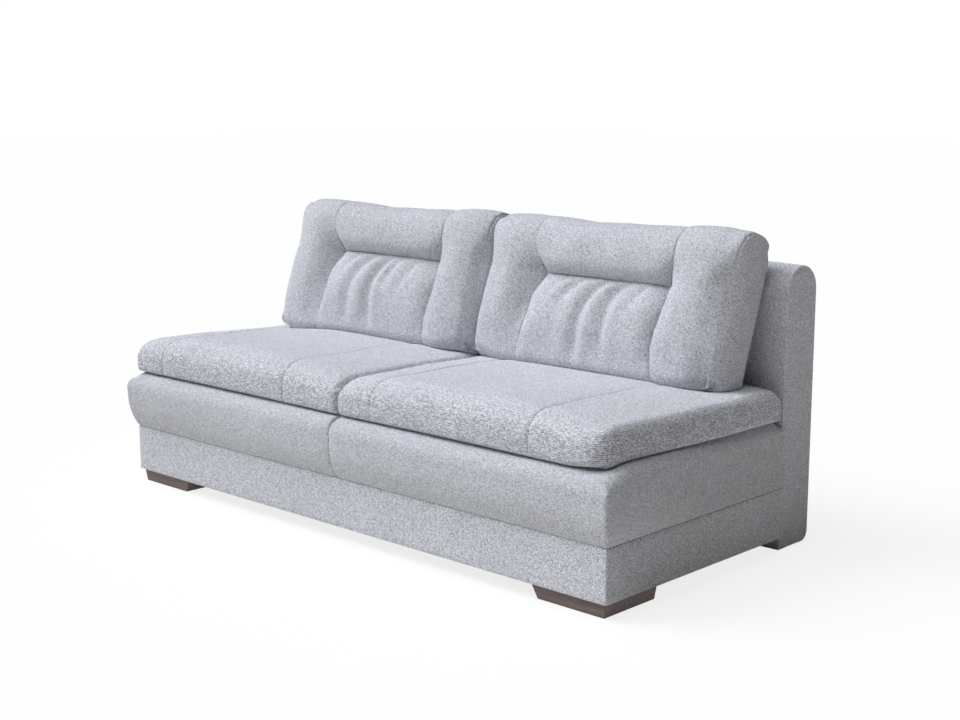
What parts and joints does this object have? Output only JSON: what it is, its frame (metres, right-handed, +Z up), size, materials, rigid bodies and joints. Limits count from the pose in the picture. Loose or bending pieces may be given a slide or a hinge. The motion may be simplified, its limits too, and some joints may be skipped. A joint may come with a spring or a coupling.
{
  "type": "sofa",
  "caption": "Armless sofa in pale grey woven fabric, with loose seat cushions, gathered back cushions, dark block feet and a padded back slab.",
  "frame": {"origin": "on the floor, under the middle of the outline", "axes": "+X along the length to the right as seen from the front, +Y to the rear, +Z up"},
  "size_m": [1.986, 0.961, 0.8945],
  "materials": {
    "base_fabric": "matte",
    "cushion_fabric": "matte",
    "slab_fabric": "matte",
    "foot_wood": "satin",
    "frame_wood": "matte",
    "hardboard": "matte",
    "foam": "matte",
    "fibre_fill": "matte",
    "webbing": "matte",
    "dust_cloth": "matte",
    "zip": "satin",
    "glide_plastic": "satin",
    "screw_steel": "satin",
    "bolt_steel": "satin"
  },
  "bodies": {
    "root": {"front_foot_left": "foot_wood", "front_foot_right": "foot_wood", "foot_screws": "screw_steel", "rear_glides": "glide_plastic", "plinth_front_board": "frame_wood", "plinth_rear_board": "frame_wood", "plinth_side_board_left": "frame_wood", "plinth_side_board_right": "frame_wood", "plinth_cross_rails": "frame_wood", "plinth_corner_blocks": "frame_wood", "foot_plates": "frame_wood", "plinth_cover_front": "base_fabric", "plinth_cover_rear": "base_fabric", "plinth_cover_left": "base_fabric", "plinth_cover_right": "base_fabric", "plinth_dust_cloth": "dust_cloth", "seat_front_rail": "frame_wood", "seat_rear_rail": "frame_wood", "seat_side_rail_left": "frame_wood", "seat_side_rail_right": "frame_wood", "seat_centre_rail": "frame_wood", "seat_webbing": "webbing", "base_foam_left": "foam", "base_foam_right": "foam", "base_cover_left": "base_fabric", "base_cover_right": "base_fabric", "back_end_post_left": "frame_wood", "back_end_post_right": "frame_wood", "back_uprights": "frame_wood", "back_top_rail": "frame_wood", "back_middle_rail": "frame_wood", "back_bottom_rail": "frame_wood", "back_front_panel": "hardboard", "back_rear_panel": "hardboard", "back_foam": "foam", "back_cover": "slab_fabric", "back_dust_cloth": "dust_cloth", "joining_bolts": "bolt_steel", "bolt_washers": "bolt_steel", "bolt_t_nuts": "bolt_steel"},
    "seat_left": {"seat_cushion_cover_left": "cushion_fabric", "seat_cushion_core_left": "foam", "seat_cushion_zip_left": "zip"},
    "seat_right": {"seat_cushion_cover_right": "cushion_fabric", "seat_cushion_core_right": "foam", "seat_cushion_zip_right": "zip"},
    "back_left": {"back_cushion_cover_left": "cushion_fabric", "bolster_fills_left": "fibre_fill", "headrest_fill_left": "fibre_fill", "lumbar_fill_left": "fibre_fill", "back_cushion_zip_left": "zip"},
    "back_right": {"back_cushion_cover_right": "cushion_fabric", "bolster_fills_right": "fibre_fill", "headrest_fill_right": "fibre_fill", "lumbar_fill_right": "fibre_fill", "back_cushion_zip_right": "zip"}
  },
  "joints": [
    {"name": "seat_left_lift", "type": "slide", "parent": "root", "child": "seat_left", "axis": [0, 0, 1], "range_m": [0, 0.25]},
    {"name": "seat_right_lift", "type": "slide", "parent": "root", "child": "seat_right", "axis": [0, 0, 1], "range_m": [0, 0.25]},
    {"name": "back_left_lift", "type": "slide", "parent": "seat_left", "child": "back_left", "axis": [0, 0, 1], "range_m": [0, 0.45]},
    {"name": "back_right_lift", "type": "slide", "parent": "seat_right", "child": "back_right", "axis": [0, 0, 1], "range_m": [0, 0.45]}
  ]
}
